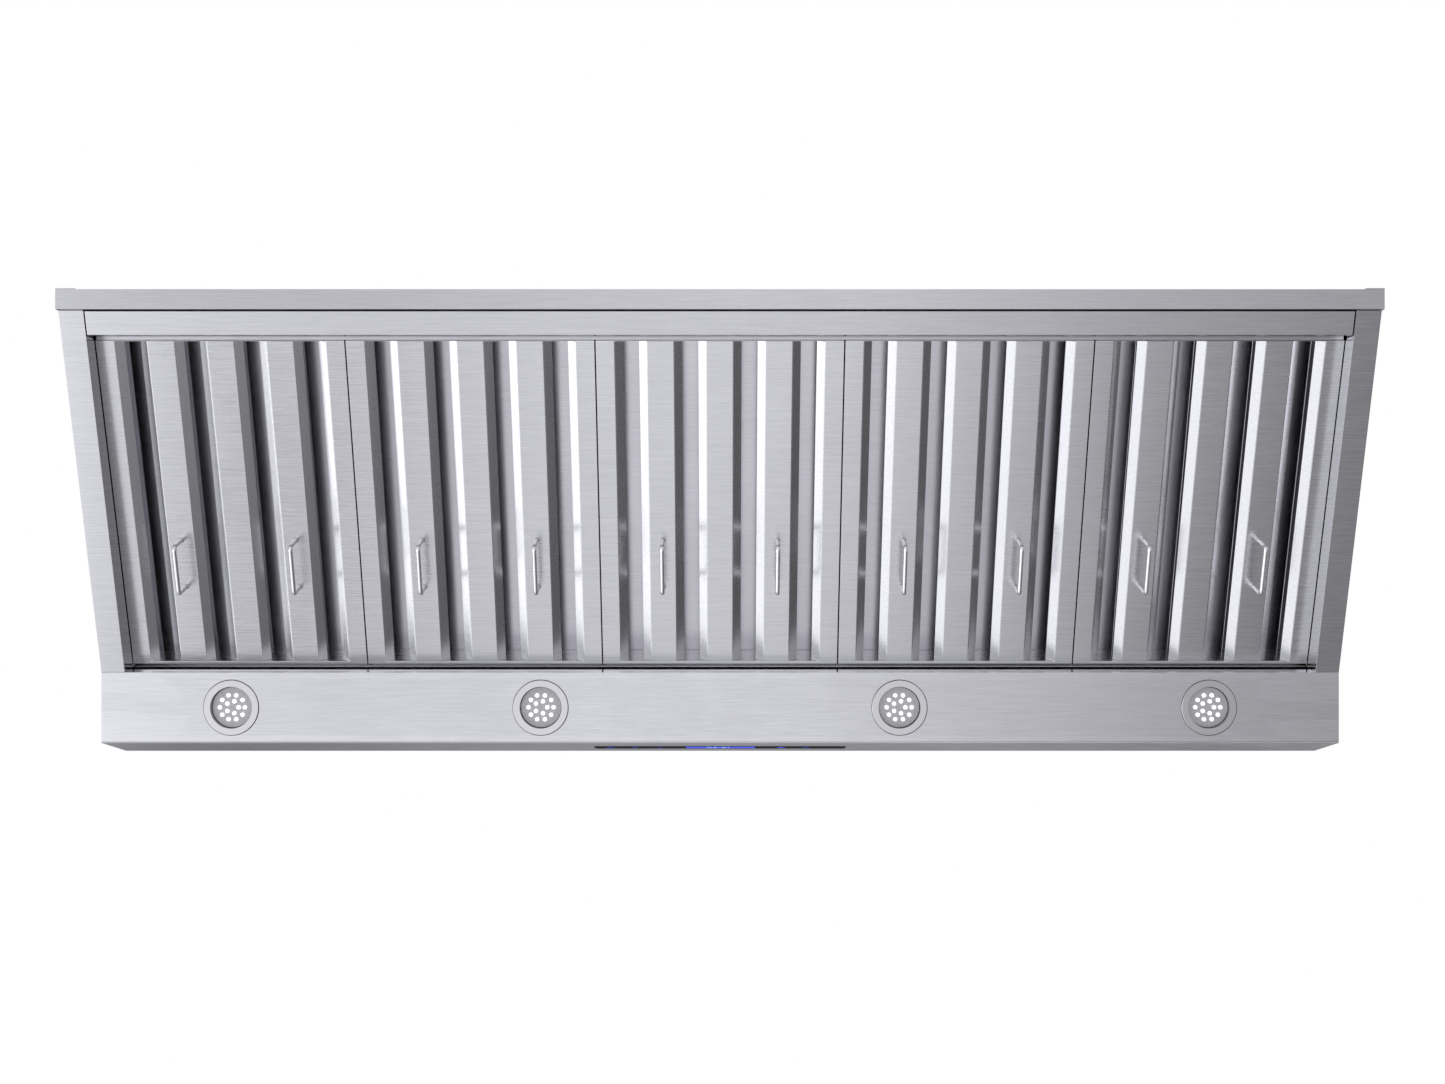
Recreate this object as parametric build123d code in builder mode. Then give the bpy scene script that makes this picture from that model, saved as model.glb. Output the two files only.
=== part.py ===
from build123d import *
import os
from math import atan2, cos, hypot, sin, sqrt, tan

os.makedirs("parts", exist_ok=True)

# Island range hood, in millimetres. The origin is the middle of the ceiling
# bracket's top face, +Z is up, +X is right as seen from the controls, and the
# front of the hood faces -Y. Heights named below count from the lowest edge.

# Overall sizes
width = 1524.0
depth = 559.0
overall_height = 1219.0
canopy_height = 457.0

# Sheet metal
sheet = 1.2
seam = 0.2
return_width = 22.0

# Rear bar, sloping side rims with their inner walls, and rear rail
bar_depth = 24.0
bar_lip = 20.0
rim_rise = 8.0
rim_width = 29.0
rim_gap = 0.6
rim_wall_height = 29.0
rail_height = 50.0
rail_depth = 45.5
rail_flange = 25.0

# Light strip, leaning front face and roof
strip_height = 137.0
strip_depth = 87.0
wall_height = 29.0
wall_lean = 5.0
wall_return = 14.0
strip_upstand = 15.0
fascia_height = 83.0
fascia_lean = 20.5
lip_depth = 20.0
roof_flange = 12.0
roof_shelf = 19.5

# Grease tray
tray_depth = 26.4
tray_gap = 1.5
tray_height = 42.0
tray_side_gap = 2.0
tray_sheet = 1.0
tray_lip = 2.0

# Baffle filters
filter_count = 5
filter_gap = 1.6
filter_thickness = 40.0
filter_sheet = 0.9
filter_rear_gap = 2.8
swing_gap = 1.0
edge_flat = 21.9
slope_run = 9.8
slope_rise = 6.6
baffle_gap = 18.7
hood_skirt = 20.0
hood_flare = 10.0
rail_top_flange = 12.0
drain_width = 12.0
drain_height = 6.0
baffle_fit = 0.1

# Filter handles
handle_wire = 5.0
handle_span = 60.0
handle_reach = 28.0
handle_bend = 5.0
handle_front_margin = 129.0

# Lamps
lamp_inner_x = 221.0
lamp_side_margin = 160.0
bezel_radius = 33.85
bezel_opening = 25.8
bezel_proud = 1.0
lamp_body_radius = 30.8
lamp_body_height = 22.0
lamp_wall = 2.8
lamp_recess = 5.5
lamp_fit = 0.4
plate_thickness = 2.0
sink_inset = 4.0
sink_tail = 6.0
led_radius = 2.4
led_stem = 1.5
led_outer_ring = 15.5
led_inner_ring = 7.7

# Touch control
glass_length = 315.0
glass_height = 26.0
glass_thickness = 3.0
glass_centre = 47.0
glass_corner = 3.0
glass_fit = 0.4
board_length = 290.0
board_height = 20.0
board_thickness = 1.6
board_gap = 4.0
cover_margin = 8.0
cover_depth = 15.0
pad_count = 8
pad_width = 8.0
pad_height = 12.0

# Blowers
blower_x = 95.0
blower_width = 130.0
blower_y = -22.0
blower_clearance = 14.5
scroll_gap = 24.0
outlet_depth = 90.0
blower_sheet = 1.0
inlet_radius = 66.0
wheel_radius = 88.0
wheel_width = 100.0
blade_count = 30
blade_depth = 13.0
blade_thickness = 1.0
blade_turn = 35.0
wheel_ring = 2.0
wheel_margin = 1.0
disc_place = 16.0
disc_thickness = 3.0
hub_radius = 12.0
hub_length = 18.0
shaft_radius = 5.0
shaft_fit = 0.05
motor_radius = 40.0
shaft_place = 8.0
motor_place = 32.0
motor_length = 60.0
spacer_radius = 20.0
arm_width = 14.0
arm_thickness = 2.0

# Outlet plenum, collar and damper
plenum_end = 12.0
plenum_margin = 2.0
plenum_height = 60.0
collar_radius = 127.0
collar_height = 60.0
collar_wall = 1.0
damper_height = 8.0
damper_gap = 1.5
damper_plate = 0.8
damper_pin_radius = 2.0
damper_knuckle = 3.4
damper_fit = 0.05

# Ceiling bracket, posts and chimney
bracket_length = 384.0
bracket_web = 27.0
bracket_plate = 3.0
duct_clearance = 8.0
bolt_inset = 22.0
bolt_hole = 4.25
post_size = 25.0
post_wall = 2.0
post_inset = 6.0
foot_size = 36.0
foot_plate = 3.0
foot_bolt = 4.0
foot_bolt_fit = 0.2
bolt_head_radius = 6.8
bolt_head_height = 5.2
bolt_tail = 12.0
cable_hole = 9.0
bracket_gap = 4.0
chimney_wall = 1.0
chimney_gap = 2.0
lower_chimney_height = 420.0
chimney_overlap = 60.0
ceiling_gap = 2.0

# Wiring
box_length = 100.0
box_depth = 36.0
box_height = 60.0
box_wall = 1.5
gland_bore = 8.0
gland_radius = 11.0
gland_nut_radius = 13.2
gland_nut_height = 6.0
gland_height = 14.0
driver_length = 150.0
driver_depth = 45.0
driver_height = 30.0
driver_corner = 3.0
driver_x = 420.0

# Places that follow from the sizes
base_z = -overall_height
rear_y = depth / 2
front_y = -depth / 2
inner_x = width / 2 - sheet
bar_front_y = rear_y - bar_depth
strip_front_y = front_y + fascia_lean
strip_rear_y = strip_front_y + strip_depth
lip_height = strip_height + fascia_height
fascia_slant = hypot(fascia_lean, fascia_height)
fascia_offset = sheet * fascia_slant / fascia_height
tray_rear_y = bar_front_y - tray_gap
tray_front_y = tray_rear_y - tray_depth
hinge_y = tray_front_y - filter_rear_gap
hinge_height = tray_height
wall_top_y = strip_rear_y + wall_lean
wall_top_height = strip_height + wall_height
filter_slope = atan2(wall_top_height - hinge_height, hinge_y - wall_top_y)
opening_half = width / 2 - rim_width
filter_pitch = 2 * opening_half / filter_count
filter_width = filter_pitch - filter_gap
canopy_top_z = base_z + canopy_height
scroll_radius = wheel_radius + scroll_gap
filter_rise = (hinge_y - blower_y) * tan(filter_slope)
filter_top_height = hinge_height + filter_rise + filter_thickness / cos(filter_slope)
blower_height = filter_top_height + (scroll_radius + blower_clearance) / cos(filter_slope)
plenum_length = 2 * (blower_x + blower_width / 2 + plenum_end)
plenum_depth = 2 * (collar_radius + plenum_margin)
duct_hole = collar_radius + duct_clearance
bracket_depth = 2 * (duct_hole + bracket_web)
bolt_length = bracket_length - 2 * bolt_inset
bolt_depth = bracket_depth - 2 * bolt_inset
cover_growth = 2 * (bracket_gap + 2 * chimney_wall + chimney_gap)
chimney_length = bracket_length + cover_growth
chimney_depth = bracket_depth + cover_growth
roof_top_y = -chimney_depth / 2 - roof_shelf
box_y = plenum_depth / 2 + ceiling_gap + box_depth / 2


def side_view(x):
    """Plane facing +X whose X runs to the rear and whose Y rises from the lowest edge."""
    return Plane(origin=(x, 0, base_z), x_dir=(0, 1, 0), z_dir=(1, 0, 0))


def plan_view(height):
    """Level plane at a height above the lowest edge."""
    return Plane.XY.offset(base_z + height)


def bent_sheet(plane, points, thickness, side):
    """Cut face of a sheet whose outer skin follows the points."""
    with BuildSketch(plane) as section:
        with BuildLine():
            Polyline(*points)
            offset(amount=thickness, side=side)
        make_face()
    return section.sketch


def outline(plane, points):
    """Flat face with straight edges through the points."""
    with BuildSketch(plane) as face:
        with BuildLine():
            Polyline(*points, close=True)
        make_face()
    return face.sketch


def fascia_inner_y(height):
    """Place of the leaning front face's inner skin at a height."""
    return strip_front_y - fascia_lean * (height - strip_height) / fascia_height + fascia_offset


def trim_ends(height):
    """Clears the two ends of a full-width sheet above a height, for the side panels."""
    with BuildSketch(plan_view(height)) as ends:
        with GridLocations(2 * (inner_x + sheet), 1, 2, 1):
            Rectangle(2 * sheet, 2 * depth)
    extrude(ends.sketch, amount=canopy_height, mode=Mode.SUBTRACT)


# Rear panel with its bottom bar
with BuildPart() as rear_panel:
    rear_profile = [
        (rear_y - sheet, canopy_height - sheet),
        (rear_y - sheet, 0),
        (bar_front_y, 0),
        (bar_front_y, bar_lip),
    ]
    extrude(bent_sheet(side_view(-width / 2), rear_profile, sheet, Side.RIGHT), amount=width)
    trim_ends(sheet)
rear_panel.part.label = "rear_panel"
export_step(rear_panel.part, "parts/rear_panel.step")


# Side panels: skin, sloping rim along the bottom with a wall on its inner edge, and a return at the rear
rim_rear_y = bar_front_y - rim_gap
side_outline = [
    (rear_y, 0),
    (rear_y - sheet, 0),
    (rear_y - sheet, sheet),
    (rim_rear_y, sheet),
    (rim_rear_y, rim_rise),
    (strip_rear_y + seam, strip_height),
    (strip_rear_y + seam, strip_height + sheet),
    (fascia_inner_y(strip_height + sheet) + seam, strip_height + sheet),
    (fascia_inner_y(lip_height - sheet) + seam, lip_height - sheet),
    (front_y + lip_depth, lip_height - sheet),
    (front_y + lip_depth, lip_height),
    (roof_top_y, canopy_height),
    (rear_y, canopy_height),
]
rim_profile = [(rim_rear_y, rim_rise), (strip_rear_y + seam, strip_height)]
rim_wall_outline = [
    (rim_rear_y, rim_rise),
    (strip_rear_y + seam, strip_height),
    (wall_top_y + seam, wall_top_height),
    (rim_rear_y, rim_rise + rim_wall_height),
]


def make_side_panel(side):
    outer = side_view(side * width / 2)
    with BuildPart() as panel:
        extrude(outline(outer, side_outline), amount=-side * sheet)
        extrude(bent_sheet(outer, rim_profile, sheet, Side.RIGHT), amount=-side * rim_width)
        extrude(outline(side_view(side * opening_half), rim_wall_outline), amount=side * sheet)
        with BuildSketch(plan_view(0)):
            with Locations((side * (width - return_width) / 2, rear_y - sheet / 2)):
                Rectangle(return_width, sheet)
        extrude(amount=canopy_height)
    return panel.part


for side, name in ((-1, "left_side_panel"), (1, "right_side_panel")):
    side_panel = make_side_panel(side)
    side_panel.label = name
    export_step(side_panel, f"parts/{name}.step")


# Light strip: level face, front upstand and leaning inner wall, with four lamp holes
lamp_outer_x = width / 2 - lamp_side_margin
lamp_places = [-lamp_outer_x, -lamp_inner_x, lamp_inner_x, lamp_outer_x]
lamp_y = (strip_front_y + strip_rear_y) / 2
upstand_lean = strip_upstand * fascia_lean / fascia_height
strip_start_y = strip_front_y + fascia_offset + seam
with BuildPart() as light_panel:
    strip_profile = [
        (strip_start_y - upstand_lean, strip_height + strip_upstand),
        (strip_start_y, strip_height),
        (strip_rear_y, strip_height),
        (wall_top_y, wall_top_height),
        (wall_top_y - wall_return, wall_top_height),
    ]
    extrude(bent_sheet(side_view(-width / 2), strip_profile, sheet, Side.LEFT), amount=width)
    trim_ends(strip_height + sheet)
    with BuildSketch(plan_view(strip_height)):
        with Locations(*[(x, lamp_y) for x in lamp_places]):
            Circle(lamp_body_radius + lamp_fit)
    extrude(amount=sheet, mode=Mode.SUBTRACT)
light_panel.part.label = "light_panel"
export_step(light_panel.part, "parts/light_panel.step")


# Leaning front face with the window for the touch glass
fascia_tilt = atan2(fascia_lean, fascia_height)
fascia_plane = Plane(
    origin=(0, strip_front_y, base_z + strip_height),
    x_dir=(1, 0, 0),
    z_dir=(0, -cos(fascia_tilt), -sin(fascia_tilt)),
)
window_length = glass_length + 2 * glass_fit
window_height = glass_height + 2 * glass_fit
with BuildPart() as front_fascia:
    fascia_profile = [
        (strip_front_y, strip_height),
        (front_y, lip_height),
        (front_y + lip_depth, lip_height),
    ]
    extrude(bent_sheet(side_view(-width / 2), fascia_profile, sheet, Side.RIGHT), amount=width)
    with BuildSketch(fascia_plane):
        with Locations((0, glass_centre)):
            RectangleRounded(window_length, window_height, glass_corner + glass_fit)
    extrude(amount=sheet, both=True, mode=Mode.SUBTRACT)
front_fascia.part.label = "front_fascia"
export_step(front_fascia.part, "parts/front_fascia.step")


# Sloping roof behind the front lip, and the level top panel
with BuildPart() as front_roof:
    roof_start_y = front_y + lip_depth + seam
    roof_profile = [
        (roof_start_y, lip_height - roof_flange),
        (roof_start_y, lip_height),
        (roof_top_y, canopy_height - seam),
    ]
    roof_section = bent_sheet(side_view(-inner_x), roof_profile, sheet, Side.RIGHT)
    extrude(roof_section, amount=2 * inner_x)
front_roof.part.label = "front_roof"
export_step(front_roof.part, "parts/front_roof.step")

outlet_y = blower_y + scroll_radius - outlet_depth / 2
post_x = bracket_length / 2 - post_inset
post_y = bracket_depth / 2 - post_inset
foot_x = post_x - foot_size / 2
foot_y = post_y - foot_size / 2
with BuildPart() as top_panel:
    top_start_y = roof_top_y + 2 * sheet
    top_end_y = rear_y - sheet
    with BuildSketch(plan_view(canopy_height)):
        with Locations((0, (top_start_y + top_end_y) / 2)):
            Rectangle(2 * inner_x, top_end_y - top_start_y)
        with Locations(*[(x, outlet_y) for x in (-blower_x, blower_x)]):
            Rectangle(blower_width, outlet_depth, mode=Mode.SUBTRACT)
        with GridLocations(2 * foot_x, 2 * foot_y, 2, 2):
            Circle(foot_bolt + foot_bolt_fit, mode=Mode.SUBTRACT)
    extrude(amount=-sheet)
top_panel.part.label = "top_panel"
export_step(top_panel.part, "parts/top_panel.step")


# Rear rail above the tray, behind the filters' lower ends
with BuildPart() as filter_rear_rail:
    rail_back_y = rear_y - 2 * sheet
    rail_profile = [
        (rail_back_y, rail_height + rail_flange),
        (rail_back_y, rail_height),
        (rail_back_y - rail_depth, rail_height),
    ]
    rail_section = bent_sheet(side_view(-inner_x), rail_profile, sheet, Side.RIGHT)
    extrude(rail_section, amount=2 * inner_x)
filter_rear_rail.part.label = "filter_rear_rail"
export_step(filter_rear_rail.part, "parts/filter_rear_rail.step")


# Grease tray: a folded trough with closed ends and a lip under the filters' lower edges
rim_slope = (strip_height - rim_rise) / (rim_rear_y - strip_rear_y)
tray_half = opening_half - tray_side_gap
tray_rear_height = rim_rise + (rim_rear_y - tray_rear_y) * rim_slope - tray_gap
tray_front_height = tray_rear_height + tray_depth * rim_slope
with BuildPart() as grease_tray:
    tray_profile = [
        (tray_rear_y, tray_height),
        (tray_rear_y, tray_rear_height),
        (tray_front_y, tray_front_height),
        (tray_front_y, tray_height),
    ]
    lipped_profile = tray_profile + [(tray_front_y - tray_lip, tray_height)]
    extrude(bent_sheet(side_view(-tray_half), lipped_profile, tray_sheet, Side.RIGHT), amount=2 * tray_half)
    extrude(outline(side_view(-tray_half), tray_profile), amount=tray_sheet)
    extrude(outline(side_view(tray_half), tray_profile), amount=-tray_sheet)
grease_tray.part.label = "grease_tray"
export_step(grease_tray.part, "parts/grease_tray.step")


# Baffle filters. Each lies on a slope and swings down about its lower rear edge,
# so its front end stays inside the circle that clears the light strip's wall.
reach_low = hypot(hinge_y - strip_rear_y - swing_gap, strip_height - hinge_height)
reach_top = hypot(hinge_y - wall_top_y - swing_gap, wall_top_height - hinge_height)
filter_length = min(reach_low, reach_top)
cap_place = sqrt(filter_length**2 - filter_thickness**2) - swing_gap / 2
along = (0, -cos(filter_slope), sin(filter_slope))
gap_span = baffle_gap + 2 * slope_run
channel_flat = (filter_width - 2 * edge_flat - 4 * gap_span) / 3
baffle_pitch = channel_flat + gap_span
hood_half = baffle_gap / 2 + slope_run + channel_flat / 4
baffle_start = filter_sheet + baffle_fit
baffle_length = cap_place - filter_sheet - 2 * baffle_fit - filter_sheet


def filter_section(x, distance):
    """Plane across a filter at a distance up the slope: X is +X, Y is the filter's upward normal."""
    origin = (x, hinge_y + along[1] * distance, base_z + hinge_height + along[2] * distance)
    return Plane(origin=origin, x_dir=(1, 0, 0), z_dir=along)


def make_filter_frame(x):
    half = filter_width / 2
    flat_start = half - edge_flat
    with BuildPart() as frame:
        for side, bend in ((1, Side.LEFT), (-1, Side.RIGHT)):
            rail = [
                (side * (flat_start - slope_run), slope_rise),
                (side * flat_start, 0),
                (side * half, 0),
                (side * half, filter_thickness),
                (side * (half - rail_top_flange), filter_thickness),
            ]
            extrude(bent_sheet(filter_section(x, 0), rail, filter_sheet, bend), amount=cap_place)
        for place in (0, cap_place - filter_sheet):
            with BuildSketch(filter_section(x, place)):
                Rectangle(filter_width, filter_thickness, align=(Align.CENTER, Align.MIN))
            extrude(amount=filter_sheet)
        with BuildSketch(filter_section(x, cap_place)):
            Rectangle(filter_width, filter_sheet, align=(Align.CENTER, Align.MIN))
        extrude(amount=filter_length - cap_place)
        with BuildSketch(filter_section(x, 0)):
            with Locations((0, 2 * filter_sheet)):
                with GridLocations(baffle_pitch, 1, 3, 1):
                    Rectangle(drain_width, drain_height, align=(Align.CENTER, Align.MIN))
        extrude(amount=filter_sheet, mode=Mode.SUBTRACT)
    return frame.part


def make_lower_baffles(x):
    half_flat = channel_flat / 2
    with BuildPart() as baffles:
        for place in (-1, 0, 1):
            middle = place * baffle_pitch
            channel = [
                (middle - half_flat - slope_run, slope_rise),
                (middle - half_flat, 0),
                (middle + half_flat, 0),
                (middle + half_flat + slope_run, slope_rise),
            ]
            section = bent_sheet(filter_section(x, baffle_start), channel, filter_sheet, Side.LEFT)
            extrude(section, amount=baffle_length)
    return baffles.part


def make_upper_baffles(x):
    crown = filter_thickness - filter_sheet - baffle_fit
    with BuildPart() as baffles:
        for place in (-1.5, -0.5, 0.5, 1.5):
            middle = place * baffle_pitch
            channel = [
                (middle - hood_half, hood_skirt),
                (middle - hood_half + hood_flare, crown),
                (middle + hood_half - hood_flare, crown),
                (middle + hood_half, hood_skirt),
            ]
            section = bent_sheet(filter_section(x, baffle_start), channel, filter_sheet, Side.RIGHT)
            extrude(section, amount=baffle_length)
    return baffles.part


def make_handles(x):
    middle = cap_place - handle_front_margin
    start = middle - handle_span / 2
    end = middle + handle_span / 2
    with BuildPart() as handles:
        for place in (-1, 1):
            foot = filter_section(x + place * baffle_pitch, 0).origin
            upright = Plane(origin=foot, x_dir=along, z_dir=(-1, 0, 0))
            with BuildLine(upright) as wire:
                FilletPolyline(
                    (start, 0), (start, -handle_reach), (end, -handle_reach), (end, 0), radius=handle_bend
                )
            with BuildSketch(Plane(origin=wire.line @ 0, z_dir=wire.line % 0)):
                Circle(handle_wire / 2)
            sweep(path=wire.line)
    return handles.part


for number in range(1, filter_count + 1):
    filter_x = (number - (filter_count + 1) / 2) * filter_pitch
    pieces = {
        f"filter_{number}_frame": make_filter_frame(filter_x),
        f"filter_{number}_lower_baffles": make_lower_baffles(filter_x),
        f"filter_{number}_upper_baffles": make_upper_baffles(filter_x),
        f"filter_{number}_handles": make_handles(filter_x),
    }
    for name, piece in pieces.items():
        piece.label = name
        export_step(piece, f"parts/{name}.step")


# Lamps: a bezel, a module behind it, and the light-emitting diodes
bezel_edge = 0.45
bezel_profile = [
    (bezel_opening, -bezel_proud),
    (bezel_radius - bezel_edge, -bezel_proud),
    (bezel_radius, -bezel_proud + bezel_edge),
    (bezel_radius, 0),
    (lamp_body_radius, 0),
    (lamp_body_radius, lamp_body_height),
    (lamp_body_radius - lamp_wall, lamp_body_height),
    (lamp_body_radius - lamp_wall, lamp_recess),
    (bezel_opening - bezel_edge, lamp_recess),
]


def make_bezel(x):
    upright = Plane(origin=(x, lamp_y, base_z + strip_height), x_dir=(1, 0, 0), z_dir=(0, -1, 0))
    with BuildPart() as bezel:
        add(outline(upright, bezel_profile))
        revolve(axis=Axis(upright.origin, (0, 0, 1)))
    return bezel.part


def make_module(x):
    plate_radius = lamp_body_radius - lamp_wall - seam
    with BuildPart() as module:
        with BuildSketch(plan_view(strip_height + lamp_recess)):
            with Locations((x, lamp_y)):
                Circle(plate_radius)
        extrude(amount=plate_thickness)
        with BuildSketch(plan_view(strip_height + lamp_recess + plate_thickness)):
            with Locations((x, lamp_y)):
                Circle(plate_radius - sink_inset)
        extrude(amount=lamp_body_height - lamp_recess + sink_tail)
    return module.part


for number, lamp_x in enumerate(lamp_places, start=1):
    pieces = {
        f"lamp_{number}_bezel": make_bezel(lamp_x),
        f"lamp_{number}_module": make_module(lamp_x),
    }
    for name, piece in pieces.items():
        piece.label = name
        export_step(piece, f"parts/{name}.step")

led_top = strip_height + lamp_recess
with BuildPart() as lamp_leds:
    for lamp_x in lamp_places:
        with Locations((lamp_x, lamp_y, base_z + led_top)):
            for ring, count, turn in ((led_outer_ring, 10, 0), (led_inner_ring, 5, 180)):
                with PolarLocations(ring, count, start_angle=turn):
                    Cylinder(led_radius, led_stem, align=(Align.CENTER, Align.CENTER, Align.MAX))
                    with Locations((0, 0, -led_stem)):
                        Sphere(led_radius, arc_size1=-90, arc_size2=0)
lamp_leds.part.label = "lamp_leds"
export_step(lamp_leds.part, "parts/lamp_leds.step")


# Touch control: glass in the front face, board behind it, and a cover behind both
with BuildPart() as control_glass:
    with BuildSketch(fascia_plane):
        with Locations((0, glass_centre)):
            RectangleRounded(glass_length, glass_height, glass_corner)
    extrude(amount=-glass_thickness)
control_glass.part.label = "control_glass"
export_step(control_glass.part, "parts/control_glass.step")

with BuildPart() as control_board:
    with BuildSketch(fascia_plane.offset(-glass_thickness - board_gap)):
        with Locations((0, glass_centre)):
            Rectangle(board_length, board_height)
    extrude(amount=-board_thickness)
    with BuildSketch(fascia_plane.offset(-glass_thickness)):
        with Locations((0, glass_centre)):
            with GridLocations(board_length / pad_count, 1, pad_count, 1):
                Rectangle(pad_width, pad_height)
    extrude(amount=-board_gap)
control_board.part.label = "control_board"
export_step(control_board.part, "parts/control_board.step")

with BuildPart() as control_cover:
    cover_length = glass_length + 2 * cover_margin
    cover_height = glass_height + 2 * cover_margin
    with BuildSketch(fascia_plane.offset(-sheet)):
        with Locations((0, glass_centre)):
            Rectangle(cover_length, cover_height)
    extrude(amount=-cover_depth)
    with BuildSketch(fascia_plane.offset(-sheet)):
        with Locations((0, glass_centre)):
            Rectangle(cover_length - 2 * sheet, cover_height - 2 * sheet)
    extrude(amount=-cover_depth + sheet, mode=Mode.SUBTRACT)
control_cover.part.label = "control_cover"
export_step(control_cover.part, "parts/control_cover.step")


# Blowers: a scroll open at both inlets and at the top, a wheel, and a motor inside it
def scroll_face(x, inset):
    """Side outline of the scroll and its upward outlet, drawn in by the wall."""
    top = canopy_height - blower_height
    with BuildSketch(side_view(x)) as face:
        with Locations((blower_y, blower_height)):
            Circle(scroll_radius - inset)
            with Locations((scroll_radius - outlet_depth + inset, 0)):
                Rectangle(outlet_depth - 2 * inset, top, align=(Align.MIN, Align.MIN))
    return face.sketch


def make_housing(side):
    start = side * blower_x - blower_width / 2
    with BuildPart() as housing:
        extrude(scroll_face(start, 0), amount=blower_width)
        extrude(
            scroll_face(start + blower_sheet, blower_sheet),
            amount=blower_width - 2 * blower_sheet,
            mode=Mode.SUBTRACT,
        )
        with BuildSketch(side_view(start)):
            with Locations((blower_y, blower_height)):
                Circle(inlet_radius)
        extrude(amount=blower_width, mode=Mode.SUBTRACT)
    return housing.part


def make_wheel(side):
    start = side * blower_x - wheel_width / 2
    with BuildPart() as wheel:
        disc_x = side * (blower_x - wheel_width / 2 + disc_place)
        with BuildSketch(side_view(disc_x)):
            with Locations((blower_y, blower_height)):
                Circle(wheel_radius - wheel_margin)
                Circle(shaft_radius + shaft_fit, mode=Mode.SUBTRACT)
        extrude(amount=disc_thickness / 2, both=True)
        with BuildSketch(side_view(disc_x)):
            with Locations((blower_y, blower_height)):
                Circle(hub_radius)
                Circle(shaft_radius + shaft_fit, mode=Mode.SUBTRACT)
        extrude(amount=hub_length / 2, both=True)
        with BuildSketch(side_view(start)):
            with Locations((blower_y, blower_height)):
                with PolarLocations(wheel_radius - blade_depth / 2 - wheel_margin, blade_count):
                    Rectangle(blade_depth, blade_thickness, rotation=blade_turn)
        extrude(amount=wheel_width)
        for edge in (start, start + wheel_width - wheel_ring):
            with BuildSketch(side_view(edge)):
                with Locations((blower_y, blower_height)):
                    Circle(wheel_radius)
                    Circle(wheel_radius - blade_depth - wheel_margin, mode=Mode.SUBTRACT)
            extrude(amount=wheel_ring)
    return wheel.part


def make_motor(side):
    shaft_start = side * (blower_x - wheel_width / 2 + shaft_place)
    motor_start = side * (blower_x - wheel_width / 2 + motor_place)
    spider = side * (blower_x + blower_width / 2)
    with BuildPart() as motor:
        with BuildSketch(side_view(motor_start)):
            with Locations((blower_y, blower_height)):
                Circle(motor_radius)
        extrude(amount=side * motor_length)
        with BuildSketch(side_view(shaft_start)):
            with Locations((blower_y, blower_height)):
                Circle(shaft_radius)
        extrude(amount=motor_start - shaft_start)
        with BuildSketch(side_view(motor_start)):
            with Locations((blower_y, blower_height)):
                Circle(spacer_radius)
        extrude(amount=spider - motor_start)
        with BuildSketch(side_view(spider)):
            with Locations((blower_y, blower_height)):
                Circle(spacer_radius)
                with PolarLocations(0, 3, start_angle=90):
                    Rectangle(inlet_radius + arm_width, arm_width, align=(Align.MIN, Align.CENTER))
        extrude(amount=side * arm_thickness)
    return motor.part


for side, word in ((-1, "left"), (1, "right")):
    pieces = {
        f"{word}_blower_housing": make_housing(side),
        f"{word}_blower_wheel": make_wheel(side),
        f"{word}_blower_motor": make_motor(side),
    }
    for name, piece in pieces.items():
        piece.label = name
        export_step(piece, f"parts/{name}.step")


# Outlet plenum on the top panel, the round collar on it, and the butterfly damper
collar_base = canopy_height + plenum_height
collar_inner = collar_radius - collar_wall
with BuildPart() as outlet_plenum:
    with BuildSketch(plan_view(canopy_height)):
        Rectangle(plenum_length, plenum_depth)
    extrude(amount=plenum_height)
    with BuildSketch(plan_view(canopy_height)):
        Rectangle(plenum_length - 2 * sheet, plenum_depth - 2 * sheet)
    extrude(amount=plenum_height - sheet, mode=Mode.SUBTRACT)
    with BuildSketch(plan_view(collar_base)):
        Circle(collar_inner)
    extrude(amount=-sheet, mode=Mode.SUBTRACT)
outlet_plenum.part.label = "outlet_plenum"
export_step(outlet_plenum.part, "parts/outlet_plenum.step")

with BuildPart() as duct_collar:
    with BuildSketch(plan_view(collar_base)):
        Circle(collar_radius)
        Circle(collar_inner, mode=Mode.SUBTRACT)
    extrude(amount=collar_height)
duct_collar.part.label = "duct_collar"
export_step(duct_collar.part, "parts/duct_collar.step")

damper_plane = Plane(origin=(0, 0, base_z + collar_base + damper_height), x_dir=(1, 0, 0), z_dir=(0, -1, 0))
with BuildPart() as damper_pin:
    with BuildSketch(damper_plane):
        Circle(damper_pin_radius)
    extrude(amount=collar_inner - seam, both=True)
damper_pin.part.label = "damper_pin"
export_step(damper_pin.part, "parts/damper_pin.step")

knuckle_length = 2 * (collar_inner - 4 * damper_gap) / 6


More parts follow.
